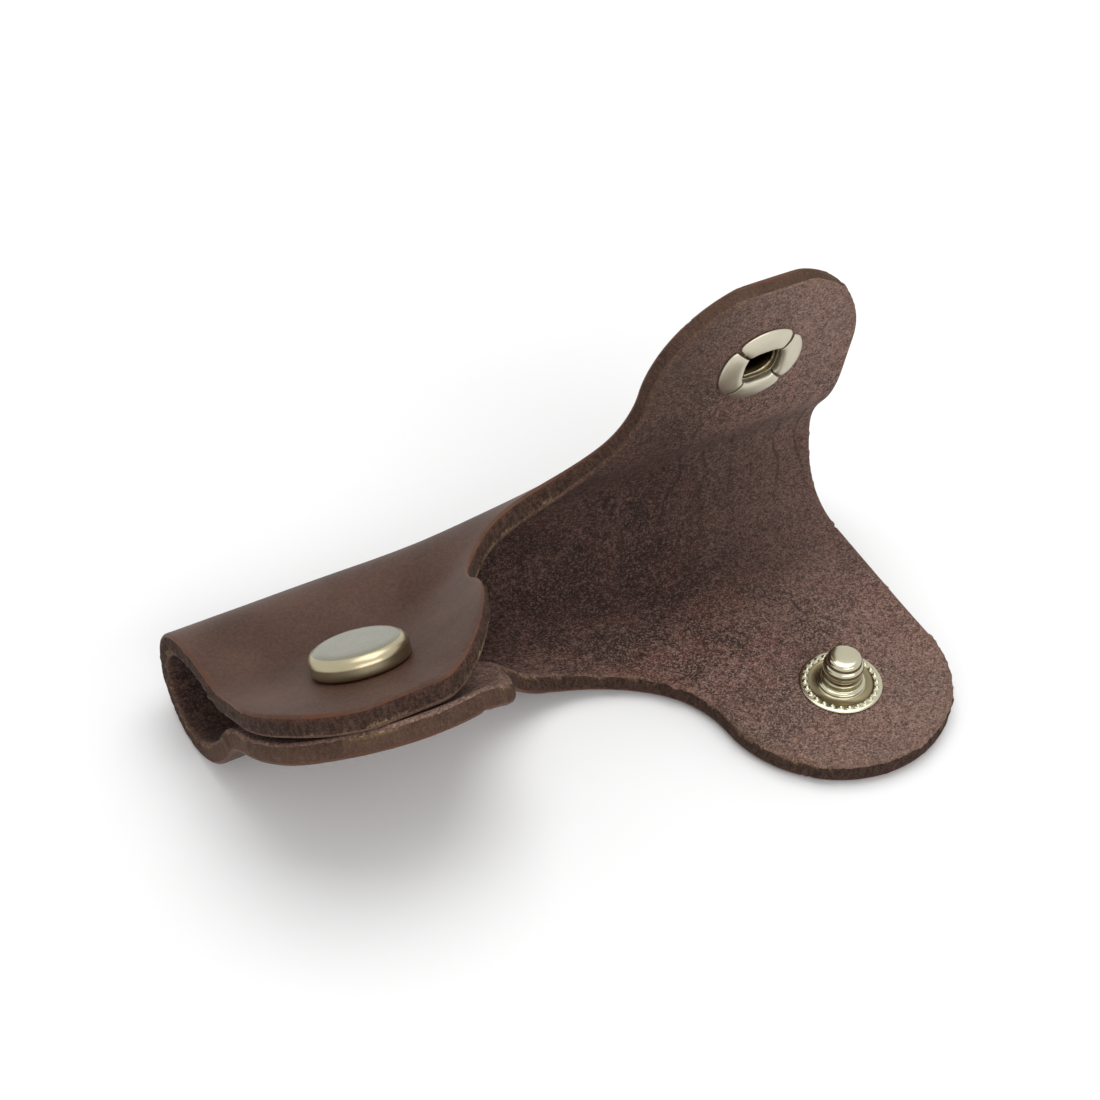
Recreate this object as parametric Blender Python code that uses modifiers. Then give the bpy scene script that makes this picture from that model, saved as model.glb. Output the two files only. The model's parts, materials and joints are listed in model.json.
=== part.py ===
"""Leather wrap with a snap fastener at each end, folded along its spine, in metres with +Z up."""

import math

import bmesh
import bpy
from mathutils import Matrix, Vector

for old in list(bpy.data.objects):
    bpy.data.objects.remove(old, do_unlink=True)

MM = 0.001
DEG = math.pi / 180

# Hide and its cut outline on the flat: u runs along the spine, v across it
LEATHER = 2.5 * MM
LOBE_U = 30.1 * MM
LOBE_V = 32.9 * MM
LOBE_R = 16.0 * MM
WAIST_V = 20.0 * MM
END_BOW = 1.2 * MM
SNAP_U = LOBE_U + 0.45 * MM
SNAP_V = LOBE_V + 1.85 * MM

# Closed end: a teardrop loop that leans back, pinched together by its snap
SNAP_GAP = 1.9 * MM
CLOSED_LEAN = -30.2 * DEG
LOOP_SPAN = 43.2 * MM
PINCH_TO = 28.3 * MM
CLOSED_Y = 1.8 * MM

# Open end: flat lobe, bend at the spine, lean past upright, curl back before the socket
RISE_TURN = 87.91 * DEG
RISE_MID = -2.1001 * MM
RISE_SPAN = 19.652 * MM
LEAN_TURN = 54.12 * DEG
LEAN_FROM = 7.0 * MM
LEAN_TO = 20.0 * MM
CURL_TURN = 40.0 * DEG
CURL_FROM = 12.0 * MM
OPEN_Y = -3.4 * MM

# The waist twists from the closed section to the open one
TWIST_FROM = -26.4 * MM
TWIST_TO = 10.2 * MM
ANCHOR_V = -10.0 * MM

# Flaps turn on the spine line, clear of the rest of the hide
FLAP_U = 11.0 * MM
HINGE_V = 0.0 * MM
HINGE_GAP = 0.4 * MM
HINGE_END = LEATHER / 2
ROUNDING = 0.8
FOLD_STEP = 1.9 * MM
TWIST_STEPS = 16
JOIN = 0.02 * MM

# Snap hardware: the spring grips the stud's waist, and the socket fits round the spring
SEAT = 0.1 * MM
STUD_FLANGE_R = 5.5 * MM
STUD_WAIST_R = 2.1 * MM
STUD_HEAD_R = STUD_WAIST_R + 0.48 * MM
STUD_TOP = 2.85 * MM
STUD_WALL = 0.45 * MM
STUD_BORE_R = STUD_WAIST_R - STUD_WALL
STUD_BORE_H = 2.4 * MM
BEADS = 26
BEAD_R = STUD_FLANGE_R - 0.8 * MM
BEAD_H = 0.2 * MM
WIRE_R = 0.17 * MM
WIRE_PLAY = 0.13 * MM
WIRE_OFF = STUD_WAIST_R + WIRE_PLAY + WIRE_R
WIRE_DEPTH = 0.5 * MM
GRIP_H = SNAP_GAP + WIRE_DEPTH
STUD_H = GRIP_H + STUD_TOP
MOUTH_HALF = WIRE_OFF + WIRE_R + WIRE_PLAY
MOUTH_POWER = 3.5
TUBE_WALL = 0.4 * MM
TUBE_CORNER = MOUTH_HALF * math.sqrt(2) / 2 ** (1 / MOUTH_POWER) + TUBE_WALL
FLAP_HOLE_R = TUBE_CORNER + 0.42 * MM
FLARE_R = TUBE_CORNER + 1.07 * MM
PETAL_R = TUBE_CORNER + 2.65 * MM
PETAL_H = 0.85 * MM
SLIT = 0.3 * MM
PLATE_BORE_R = TUBE_CORNER + 0.32 * MM
CAP_R = 6.2 * MM
CAP_H = 3.1 * MM
CAP_TOP = 0.5 * MM
CAP_SIDE = 0.6 * MM
CAP_MOUTH_R = CAP_R - 1.35 * MM
PLATE_R = CAP_R - CAP_SIDE - 0.3 * MM
EYELET_R = 4.3 * MM
EYELET_T = 0.35 * MM
EYELET_TUBE_R = STUD_BORE_R - 0.3 * MM
EYELET_BORE_R = EYELET_TUBE_R - 0.5 * MM
EYELET_TOP = STUD_BORE_H - 0.3 * MM
BASE_HOLE_R = EYELET_TUBE_R + 0.4 * MM

parts = bpy.data.collections.new("snap_wrap")
cutters = bpy.data.collections.new("cutters")
bpy.context.scene.collection.children.link(parts)
bpy.context.scene.collection.children.link(cutters)
cutters.hide_render = True


def ease(x):
    x = min(max(x, 0.0), 1.0)
    return x * x * (3 - 2 * x)


# Heading of the hide across the fold, 0 going back and a right angle going up
def heading_closed(v, spread):
    turn = 2 * ease(v / LOOP_SPAN + 0.5) - 1
    pinch = ease((abs(v) - LOOP_SPAN / 2) / (PINCH_TO - LOOP_SPAN / 2))
    return CLOSED_LEAN + math.pi / 2 + (math.pi / 2 + spread) * turn - math.copysign(spread * pinch, v)


def heading_open(v):
    rise = RISE_TURN * ease((v - RISE_MID) / RISE_SPAN + 0.5)
    lean = LEAN_TURN * ease((v - LEAN_FROM) / (LEAN_TO - LEAN_FROM))
    curl = CURL_TURN * ease((v - CURL_FROM) / (PINCH_TO - CURL_FROM))
    return rise + lean - curl


# The loop's spread is what brings its two faces to the snap's gap
def loop_half(spread):
    steps = 400
    total = 0.0
    for i in range(steps):
        v = SNAP_V * (i + 0.5) / steps
        total += math.sin(heading_closed(v, spread) - CLOSED_LEAN) * SNAP_V / steps
    return total


least, most = 0.0, 60 * DEG
for _ in range(50):
    LOOP_SPREAD = (least + most) / 2
    if loop_half(LOOP_SPREAD) > (SNAP_GAP + LEATHER) / 2:
        least = LOOP_SPREAD
    else:
        most = LOOP_SPREAD


def heading(mix, v):
    return (1 - mix) * heading_closed(v, LOOP_SPREAD) + mix * heading_open(v)


STEP = 0.25 * MM
REACH = 208
sections = {}


# Middle line of one section, summed outwards from the anchor
def section(mix):
    key = round(mix, 6)
    if key not in sections:
        line = {0: (0.0, 0.0)}
        for way in (1, -1):
            y, z = 0.0, 0.0
            for i in range(REACH * 2):
                angle = heading(mix, ANCHOR_V + way * (i + 0.5) * STEP)
                y += way * STEP * math.cos(angle)
                z += way * STEP * math.sin(angle)
                line[way * (i + 1)] = (y, z)
        sections[key] = line
    return sections[key]


def on_section(mix, v, w):
    line = section(mix)
    place = (v - ANCHOR_V) / STEP
    i = math.floor(place)
    f = place - i
    y = line[i][0] * (1 - f) + line[i + 1][0] * f
    z = line[i][1] * (1 - f) + line[i + 1][1] * f
    angle = heading(mix, v)
    return y - math.sin(angle) * w, z + math.cos(angle) * w


# Both ends rest on the table: the loop on its back, the open lobe on its eyelet
closed_low = min(on_section(0.0, i * STEP, -LEATHER / 2)[1] for i in range(-180, 181))
open_low = on_section(1.0, -SNAP_V, -LEATHER / 2 - SEAT - EYELET_T)[1]


def bend(u, v, w):
    mix = ease((u - TWIST_FROM) / (TWIST_TO - TWIST_FROM))
    y, z = on_section(mix, v, w)
    y += (1 - mix) * CLOSED_Y + mix * OPEN_Y
    z -= (1 - mix) * closed_low + mix * open_low
    return Vector((u, y, z))


def new_object(name, mesh, collection=parts):
    obj = bpy.data.objects.new(name, mesh)
    collection.objects.link(obj)
    if collection is cutters:
        obj.hide_render = True
        obj.display_type = "WIRE"
    return obj


def material(name, colour, metallic, roughness):
    mat = bpy.data.materials.new(name)
    mat.use_nodes = True
    shader = mat.node_tree.nodes["Principled BSDF"]
    shader.inputs["Base Color"].default_value = (*colour, 1)
    shader.inputs["Metallic"].default_value = metallic
    shader.inputs["Roughness"].default_value = roughness
    mat.diffuse_color = (*colour, 1)
    return mat


# One quarter of the outline, from beside the spine on the end edge to the middle of the waist
def quarter():
    neck_r = (LOBE_U**2 + (LOBE_V - WAIST_V) ** 2 - LOBE_R**2) / (2 * (LOBE_R + LOBE_V - WAIST_V))
    lobe = Vector((LOBE_U, LOBE_V))
    neck = Vector((0, WAIST_V + neck_r))
    across = neck - lobe
    turn = math.atan2(across.y, across.x) % (2 * math.pi)
    path = []
    for i in range(10):
        v = LOBE_V * (i + 0.5) / 10
        path.append((LOBE_U + LOBE_R + END_BOW * 0.5 * (1 + math.cos(math.pi * v / LOBE_V)), v))
    for i in range(25):
        a = turn * i / 24
        path.append((lobe.x + LOBE_R * math.cos(a), lobe.y + LOBE_R * math.sin(a)))
    first = turn - math.pi
    for i in range(1, 15):
        a = first + (-math.pi / 2 - first) * i / 14
        path.append((neck.x + neck_r * math.cos(a), neck.y + neck_r * math.sin(a)))
    return path


# The whole blank, cut square from a flat hide
def blank(name):
    path = quarter()
    ring = list(path)
    ring += [(-u, v) for u, v in reversed(path[:-1])]
    ring += [(-u, -v) for u, v in path]
    ring += [(u, -v) for u, v in reversed(path[:-1])]
    bm = bmesh.new()
    face = bm.faces.new([bm.verts.new((u, v, -LEATHER / 2)) for u, v in ring])
    top = bmesh.ops.extrude_face_region(bm, geom=[face])["geom"]
    moved = [g for g in top if isinstance(g, bmesh.types.BMVert)]
    bmesh.ops.translate(bm, vec=(0, 0, LEATHER), verts=moved)
    bmesh.ops.recalc_face_normals(bm, faces=bm.faces)
    mesh = bpy.data.meshes.new(name)
    bm.to_mesh(mesh)
    bm.free()
    return new_object(name, mesh)


# A bar along u whose section in v and w is given point by point
def bar(name, points, u_from, u_to):
    bm = bmesh.new()
    face = bm.faces.new([bm.verts.new((u_from, v, w)) for v, w in points])
    top = bmesh.ops.extrude_face_region(bm, geom=[face])["geom"]
    moved = [g for g in top if isinstance(g, bmesh.types.BMVert)]
    bmesh.ops.translate(bm, vec=(u_to - u_from, 0, 0), verts=moved)
    bmesh.ops.recalc_face_normals(bm, faces=bm.faces)
    mesh = bpy.data.meshes.new(name)
    bm.to_mesh(mesh)
    bm.free()
    return new_object(name, mesh, cutters)


# Half-round end of the hide at the fold line, bulging towards way
def round_end(centre, way):
    far = 60 * MM
    tall = 4 * LEATHER
    points = [(centre, tall)]
    for i in range(9):
        a = math.pi / 2 - math.pi * i / 8
        points.append((centre + way * HINGE_END * math.cos(a), ROUNDING * HINGE_END * math.sin(a)))
    return points + [(centre, -tall), (far, -tall), (far, tall)]


def drill(name, u, v, radius):
    bm = bmesh.new()
    bmesh.ops.create_cone(
        bm,
        cap_ends=True,
        segments=28,
        radius1=radius,
        radius2=radius,
        depth=4 * LEATHER,
        matrix=Matrix.Translation((u, v, 0)),
    )
    mesh = bpy.data.meshes.new(name)
    bm.to_mesh(mesh)
    bm.free()
    return new_object(name, mesh, cutters)


def boolean(obj, cutter, operation):
    modifier = obj.modifiers.new(cutter.name, "BOOLEAN")
    modifier.operation = operation
    modifier.object = cutter
    modifier.solver = "EXACT"


def freeze(obj):
    graph = bpy.context.evaluated_depsgraph_get()
    mesh = bpy.data.meshes.new_from_object(obj.evaluated_get(graph))
    obj.modifiers.clear()
    obj.data = mesh


# Fold lines across the blank, then every point carried onto the bent hide
def fold(obj, v_lines, u_lines):
    bm = bmesh.new()
    bm.from_mesh(obj.data)
    for v in v_lines:
        every = bm.verts[:] + bm.edges[:] + bm.faces[:]
        bmesh.ops.bisect_plane(bm, geom=every, dist=1e-7, plane_co=(0, v, 0), plane_no=(0, 1, 0))
    for u in u_lines:
        every = bm.verts[:] + bm.edges[:] + bm.faces[:]
        bmesh.ops.bisect_plane(bm, geom=every, dist=1e-7, plane_co=(u, 0, 0), plane_no=(1, 0, 0))
    bmesh.ops.remove_doubles(bm, verts=bm.verts, dist=JOIN)
    for vert in bm.verts:
        vert.co = bend(*vert.co)
    bmesh.ops.triangulate(bm, faces=bm.faces)
    bmesh.ops.recalc_face_normals(bm, faces=bm.faces)
    bm.to_mesh(obj.data)
    bm.free()


leather = material("leather_brown", (0.060, 0.030, 0.022), 0.0, 0.6)
nickel = material("nickel_satin", (0.62, 0.58, 0.51), 1.0, 0.32)
steel = material("spring_steel", (0.45, 0.43, 0.40), 1.0, 0.3)

# Leather: one hide, parted at the fold line so that each flap can turn
base = blank("leather_base")
left_flap = blank("leather_left_flap")
right_flap = blank("leather_right_flap")
free_end = 80 * MM
half_gap = HINGE_GAP / 2
clear_v = HINGE_V - 2 * HINGE_END - HINGE_GAP
for flap, way, side in ((left_flap, -1, "left"), (right_flap, 1, "right")):
    inner = way * (FLAP_U + half_gap)
    keep = bar(side + "_flap_keep", round_end(HINGE_V, -1), inner, way * free_end)
    boolean(flap, keep, "INTERSECT")
    boolean(flap, drill(side + "_flap_hole", way * SNAP_U, SNAP_V, FLAP_HOLE_R), "DIFFERENCE")
    room = bar(side + "_flap_room", round_end(clear_v, 1), way * (FLAP_U - half_gap), way * free_end)
    boolean(base, room, "DIFFERENCE")
    boolean(base, drill(side + "_base_hole", way * SNAP_U, -SNAP_V, BASE_HOLE_R), "DIFFERENCE")
for obj in (base, left_flap, right_flap):
    freeze(obj)
    obj.data.materials.clear()
    obj.data.materials.append(leather)
above = [HINGE_V + FOLD_STEP * i for i in range(1, 26)]
below = [clear_v - FOLD_STEP * i for i in range(1, 15)]
between = [(HINGE_V + clear_v) / 2]
twist_lines = [TWIST_FROM + (TWIST_TO - TWIST_FROM) * i / TWIST_STEPS for i in range(TWIST_STEPS + 1)]
fold(base, below + between + above, twist_lines)
fold(left_flap, above, twist_lines)
fold(right_flap, above, [])


# Turned piece from a profile of radius and height, top to bottom
def turned(name, profile, steps, closed, mat):
    bm = bmesh.new()
    verts = [bm.verts.new((r, 0, z)) for r, z in profile]
    for a, b in zip(verts, verts[1:] + verts[:1] if closed else verts[1:]):
        bm.edges.new((a, b))
    mesh = bpy.data.meshes.new(name)
    bm.to_mesh(mesh)
    bm.free()
    obj = new_object(name, mesh)
    screw = obj.modifiers.new("turn", "SCREW")
    screw.axis = "Z"
    screw.angle = 2 * math.pi
    screw.steps = steps
    screw.render_steps = steps
    screw.use_merge_vertices = True
    screw.merge_threshold = 1e-6
    freeze(obj)
    bm = bmesh.new()
    bm.from_mesh(obj.data)
    bmesh.ops.remove_doubles(bm, verts=bm.verts, dist=1e-7)
    bmesh.ops.recalc_face_normals(bm, faces=bm.faces)
    bm.to_mesh(obj.data)
    bm.free()
    obj.data.materials.clear()
    obj.data.materials.append(mat)
    return obj


# Frame of a snap: origin on the inner face, Z into the fold
def seat(obj, u, v):
    origin = bend(u, v, LEATHER / 2)
    inward = (bend(u, v, LEATHER) - origin).normalized()
    along = Vector((1, 0, 0))
    frame = Matrix((along, inward.cross(along), inward)).transposed().to_4x4()
    frame.translation = origin
    obj.matrix_world = frame


# Stud: round head with a bulge over a narrow waist, stepped collar, beaded flange
def stud(name):
    head, waist, flange = STUD_HEAD_R, STUD_WAIST_R, STUD_FLANGE_R
    profile = [
        (0, STUD_H),
        (head * 0.74, STUD_H),
        (head * 0.86, STUD_H - 0.15 * MM),
        (head * 0.88, STUD_H - 0.6 * MM),
        (head, STUD_H - 0.95 * MM),
        (head, GRIP_H + 0.9 * MM),
        (waist, GRIP_H + 0.55 * MM),
        (waist, GRIP_H - 0.45 * MM),
        (head, GRIP_H - 0.75 * MM),
        (head, 1.3 * MM),
        (head * 0.97, 0.95 * MM),
        (head + 0.4 * MM, 0.8 * MM),
        (head + 1.0 * MM, 0.5 * MM),
        (BEAD_R - 0.35 * MM, 0.45 * MM),
        (BEAD_R, 0.45 * MM),
        (BEAD_R + 0.35 * MM, 0.45 * MM),
        (flange, 0.35 * MM),
        (flange, SEAT),
        (STUD_BORE_R, SEAT),
        (STUD_BORE_R, STUD_BORE_H),
        (0, STUD_BORE_H),
    ]
    obj = turned(name, profile, 2 * BEADS, False, nickel)
    for vert in obj.data.vertices:
        r = math.hypot(vert.co.x, vert.co.y)
        turn = math.atan2(vert.co.y, vert.co.x) / (math.pi / BEADS)
        if abs(r - BEAD_R) < 0.05 * MM and round(turn) % 2 == 0:
            vert.co.z += BEAD_H
    return obj


# Eyelet: flanged tube that comes up through the hide into the stud
def eyelet(name):
    face = -LEATHER - SEAT
    profile = [
        (EYELET_TUBE_R, EYELET_TOP),
        (EYELET_TUBE_R, face),
        (EYELET_R - 0.1 * MM, face),
        (EYELET_R, face - 0.1 * MM),
        (EYELET_R, face - EYELET_T + 0.1 * MM),
        (EYELET_R - 0.1 * MM, face - EYELET_T),
        (EYELET_BORE_R + 0.3 * MM, face - EYELET_T),
        (EYELET_BORE_R, face - EYELET_T + 0.2 * MM),
        (EYELET_BORE_R, EYELET_TOP),
    ]
    return turned(name, profile, 32, True, nickel)


# Socket: tube with a squarish mouth, its rim split at the corners and rolled out into four petals
def socket(name):
    face = -LEATHER
    tube = MOUTH_HALF + TUBE_WALL
    profile = [
        (MOUTH_HALF, 0.45 * MM),
        (MOUTH_HALF + 0.1 * MM, 0.68 * MM),
        (MOUTH_HALF + 0.4 * MM, 0.82 * MM),
        (MOUTH_HALF + 0.9 * MM, PETAL_H),
        (PETAL_R - 1.3 * MM, 0.74 * MM),
        (PETAL_R - 0.5 * MM, 0.48 * MM),
        (PETAL_R - 0.08 * MM, 0.22 * MM),
        (PETAL_R, SEAT),
        (PETAL_R - 0.4 * MM, SEAT),
        (tube, SEAT),
        (tube, face - 0.8 * MM),
        (FLARE_R, face - 1.0 * MM),
        (FLARE_R, face - 1.3 * MM),
        (MOUTH_HALF, face - 1.3 * MM),
    ]
    obj = turned(name, profile, 40, True, nickel)
    for vert in obj.data.vertices:
        r = math.hypot(vert.co.x, vert.co.y)
        c, s = abs(vert.co.x) / r, abs(vert.co.y) / r
        square = MOUTH_HALF / (c**MOUTH_POWER + s**MOUTH_POWER) ** (1 / MOUTH_POWER) - MOUTH_HALF
        fade = 1 - ease((r - tube) / (PETAL_R - tube))
        vert.co.x *= 1 + square * fade / r
        vert.co.y *= 1 + square * fade / r
    for i in range(2):
        bm = bmesh.new()
        bmesh.ops.create_cube(bm, size=1)
        spin = Matrix.Rotation(math.pi / 4 + i * math.pi / 2, 4, "Z")
        size = Matrix.Diagonal((20 * MM, SLIT, 1.5 * MM, 1))
        bmesh.ops.transform(bm, matrix=spin @ Matrix.Translation((0, 0, 0.45 * MM)) @ size, verts=bm.verts)
        mesh = bpy.data.meshes.new(name + "_slit")
        bm.to_mesh(mesh)
        bm.free()
        boolean(obj, new_object(name + "_slit", mesh, cutters), "DIFFERENCE")
    freeze(obj)
    return obj


# Spring: round wire bent to a C, its two arms gripping the stud's waist
def spring(name):
    curve = bpy.data.curves.new(name, "CURVE")
    curve.dimensions = "3D"
    curve.bevel_depth = WIRE_R
    curve.bevel_resolution = 1
    curve.use_fill_caps = True
    arm = 1.6 * MM
    path = [(-arm, WIRE_OFF), (-arm / 2, WIRE_OFF)]
    path += [
        (WIRE_OFF * math.sin(math.pi * i / 14), WIRE_OFF * math.cos(math.pi * i / 14)) for i in range(15)
    ]
    path += [(-arm / 2, -WIRE_OFF), (-arm, -WIRE_OFF)]
    line = curve.splines.new("POLY")
    line.points.add(len(path) - 1)
    for point, (x, y) in zip(line.points, path):
        point.co = (x, y, -WIRE_DEPTH, 1)
    drawn = bpy.data.objects.new(name + "_wire", curve)
    cutters.objects.link(drawn)
    graph = bpy.context.evaluated_depsgraph_get()
    mesh = bpy.data.meshes.new_from_object(drawn.evaluated_get(graph))
    bpy.data.objects.remove(drawn, do_unlink=True)
    bm = bmesh.new()
    bm.from_mesh(mesh)
    bmesh.ops.remove_doubles(bm, verts=bm.verts, dist=1e-7)
    bmesh.ops.recalc_face_normals(bm, faces=bm.faces)
    bm.to_mesh(mesh)
    bm.free()
    obj = new_object(name, mesh)
    obj.data.materials.clear()
    obj.data.materials.append(steel)
    return obj


# Cap plate: washer inside the cap that the socket's tube is flared over
def cap_plate(name):
    face = -LEATHER
    profile = [
        (PLATE_BORE_R, face - 0.5 * MM),
        (PLATE_BORE_R, face - 0.85 * MM),
        (PLATE_R, face - 0.85 * MM),
        (PLATE_R, face - 0.5 * MM),
    ]
    return turned(name, profile, 36, True, nickel)


# Cap: shallow dome with a full round edge, rolled in under the plate
def cap(name):
    face = -LEATHER
    inner = CAP_R - CAP_SIDE
    profile = [
        (0, face - CAP_H),
        (0.45 * CAP_R, face - CAP_H + 0.03 * MM),
        (0.8 * CAP_R, face - CAP_H + 0.12 * MM),
        (0.9 * CAP_R, face - CAP_H + 0.25 * MM),
        (0.97 * CAP_R, face - CAP_H + 0.55 * MM),
        (CAP_R, face - CAP_H + 1.0 * MM),
        (CAP_R, face - 0.75 * MM),
        (0.97 * CAP_R, face - 0.4 * MM),
        (0.92 * CAP_R, face - 0.17 * MM),
        (0.85 * CAP_R, face - SEAT),
        (CAP_MOUTH_R, face - SEAT),
        (CAP_MOUTH_R, face - 0.36 * MM),
        (inner - 0.15 * MM, face - 0.36 * MM),
        (inner, face - 0.6 * MM),
        (inner, face - CAP_H + 0.95 * MM),
        (inner - 0.5 * MM, face - CAP_H + CAP_TOP + 0.15 * MM),
        (0, face - CAP_H + CAP_TOP),
    ]
    return turned(name, profile, 40, False, nickel)


for side, way in (("left", -1), ("right", 1)):
    for make in (stud, eyelet):
        seat(make(side + "_" + make.__name__), way * SNAP_U, -SNAP_V)
    for make in (socket, spring, cap_plate, cap):
        seat(make(side + "_" + make.__name__), way * SNAP_U, SNAP_V)

# Origin under the middle of the whole
bpy.context.view_layer.update()
corners = [obj.matrix_world @ vert.co for obj in parts.objects for vert in obj.data.vertices]
low = Vector([min(c[i] for c in corners) for i in range(3)])
high = Vector([max(c[i] for c in corners) for i in range(3)])
middle = (low + high) / 2
to_origin = Matrix.Translation((-middle.x, -middle.y, -low.z))
for obj in parts.objects:
    obj.matrix_world = to_origin @ obj.matrix_world

# Every sub-part has a material of its own
for obj in parts.objects:
    own = obj.data.materials[0].copy()
    own.name = obj.name + "_" + obj.data.materials[0].name
    obj.data.materials[0] = own
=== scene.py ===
"""Looks of the leather snap wrap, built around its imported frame, in metres with +Z up."""

import json
import math
from functools import partial

import bmesh
import bpy
import numpy as np
from mathutils import Matrix, Vector, noise
from mathutils.geometry import delaunay_2d_cdt


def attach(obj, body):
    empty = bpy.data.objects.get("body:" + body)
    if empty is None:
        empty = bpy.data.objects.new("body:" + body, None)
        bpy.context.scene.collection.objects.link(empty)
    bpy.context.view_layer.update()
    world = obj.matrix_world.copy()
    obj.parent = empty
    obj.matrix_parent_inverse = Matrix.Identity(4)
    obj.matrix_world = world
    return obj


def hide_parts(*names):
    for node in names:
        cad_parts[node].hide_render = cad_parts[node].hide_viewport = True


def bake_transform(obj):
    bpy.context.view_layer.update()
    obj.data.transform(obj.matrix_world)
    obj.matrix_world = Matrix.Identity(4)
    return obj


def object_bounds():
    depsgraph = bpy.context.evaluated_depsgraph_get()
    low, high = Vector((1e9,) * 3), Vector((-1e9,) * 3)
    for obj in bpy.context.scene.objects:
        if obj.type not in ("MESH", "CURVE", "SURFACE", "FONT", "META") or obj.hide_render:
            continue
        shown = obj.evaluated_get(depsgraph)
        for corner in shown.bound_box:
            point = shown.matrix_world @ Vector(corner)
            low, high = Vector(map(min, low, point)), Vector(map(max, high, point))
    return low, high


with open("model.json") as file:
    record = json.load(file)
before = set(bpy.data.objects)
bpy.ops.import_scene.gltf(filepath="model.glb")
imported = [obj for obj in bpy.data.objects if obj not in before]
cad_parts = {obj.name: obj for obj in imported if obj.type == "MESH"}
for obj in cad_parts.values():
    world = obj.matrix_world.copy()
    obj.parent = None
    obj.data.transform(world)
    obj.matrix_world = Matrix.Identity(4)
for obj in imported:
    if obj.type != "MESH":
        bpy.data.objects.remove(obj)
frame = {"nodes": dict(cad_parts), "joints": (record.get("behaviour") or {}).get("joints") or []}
cad_low, cad_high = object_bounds()

MM = 0.001
DEG = math.pi / 180

# Hide on the flat, as it was cut: u runs along the spine, v across it
LEATHER = 2.5 * MM
LOBE_U = 30.1 * MM
LOBE_V = 32.9 * MM
LOBE_R = 16.0 * MM
WAIST_V = 20.0 * MM
END_BOW = 1.2 * MM
SNAP_U = 30.55 * MM
SNAP_V = 34.75 * MM

# Closed end: a teardrop loop that leans back, pinched together by its snap
SNAP_GAP = 1.9 * MM
CLOSED_LEAN = -30.2 * DEG
LOOP_SPAN = 43.2 * MM
PINCH_TO = 28.3 * MM
CLOSED_Y = 1.8 * MM

# Open end: flat lobe, bend at the spine, lean past upright, curl back before the socket
RISE_TURN = 87.91 * DEG
RISE_MID = -2.1001 * MM
RISE_SPAN = 19.652 * MM
LEAN_TURN = 54.12 * DEG
LEAN_FROM = 7.0 * MM
LEAN_TO = 20.0 * MM
CURL_TURN = 40.0 * DEG
CURL_FROM = 12.0 * MM
OPEN_Y = -3.4 * MM

# The waist twists from the closed section to the open one
TWIST_FROM = -26.4 * MM
TWIST_TO = 10.2 * MM
ANCHOR_V = -10.0 * MM

# The closed end's lower lobe is held by its snap, so the twist reaches it later than the waist
HOLD = 4.5 * MM
HOLD_FROM = 18.0 * MM
HOLD_TO = 34.0 * MM
HOLD_U = 14.0 * MM

# That lobe is also drawn askew, its outer side back and its inner side forward
SKEW = 0.11
SKEW_FROM = 16.0 * MM
SKEW_TO = 30.0 * MM
SKEW_U = -12.0 * MM
SKEW_FADE = 10.0 * MM

# The outer side of the open flap is drawn in a little
DRAWN = 0.6 * MM
DRAWN_U = 34.0 * MM
DRAWN_V = 12.0 * MM
DRAWN_FADE = 11.0 * MM

# Beyond its snap each lobe of the closed end bends towards the other one
LIP_FROM = 40.6 * MM
LIP_TO = 49.0 * MM
TAB_LIP = 0.4 * MM
LOBE_LIP = 0.55 * MM

# At the closed end's mouth the lower layer hangs off the plain loop, away from the snap
SAG = 1.0 * MM
SAG_MID = -23.0 * MM
SAG_HALF = 12.0 * MM
SAG_FROM = 33.0 * MM
SAG_TO = 45.0 * MM

# Under the open lobe: the eyelet's flange and the play that seats it
EYELET_DROP = 0.45 * MM

# Mesh of the hide: point spacing, room kept at seams, edges and holes, and the shape of the cut edge
GRID = 0.9 * MM
SEAM_ROOM = 0.45 * GRID
EDGE_ROOM = 0.7 * GRID
HOLE_ROOM = 0.4 * GRID
HOLE_SPOKES = 40
HOLE_INSIDE = 0.99
CUT_STEP = 0.45 * MM
EDGE_ROUND = 0.42 * MM
EDGE_ROWS = (0.1 * MM, 0.26 * MM, 0.46 * MM)
WALL_ROWS = 6
SWELL = 0.42 * MM
SWELL_REACH = 3.2 * MM
SWELL_U = 10.0 * MM
SWELL_V = 12.0 * MM
WALL_BULGE = 0.14 * MM
RAGGED = 0.2 * MM
RAGGED_SIZE = 0.8 * MM
TUFT = 0.9 * MM
TUFT_SIZE = 1.3 * MM
TUFT_FROM = 0.26
RAGGED_SHARE = 0.7
FLESH_SHARE = 0.6
WAVE = 0.16 * MM
WAVE_SIZE = 13 * MM
WAVE_CUT = 3.7
FLAP_HOLE_R = 3.95 * MM
BASE_HOLE_R = 1.75 * MM

# Where the hide is parted into pieces
FLAP_U = -21.0 * MM
MIDDLE_U = -0.2 * MM
OPEN_U = 19.0 * MM
FOLD_V = -9.0 * MM

# Camera, from a fit of the bent outline to the photograph's 1100 px frame
FRAME_PX = 1100
AZIMUTH = -30.226 * DEG
ELEVATION = 43.393 * DEG
ROLL = 1.855 * DEG
DISTANCE = 257.08 * MM
FOCAL_PX = 2178.5
SENSOR = 36.0
CLIP_START = 10 * MM
CAP_PX = (358.5, 652.0)
CAP_RISE = 1.6 * MM

# Stage and light: the share of light that comes from all round, and where the lamps' share fades out
WHITE = (1, 1, 1, 1)
FLOOR_HALF = 3.0
AMBIENT = 0.58
LAMPS_FROM = 0.15
LAMPS_TO = 0.9


# From 0 to 1 with a smooth start and end
def ease(x):
    x = np.clip(x, 0.0, 1.0)
    return x * x * (3 - 2 * x)


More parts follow.
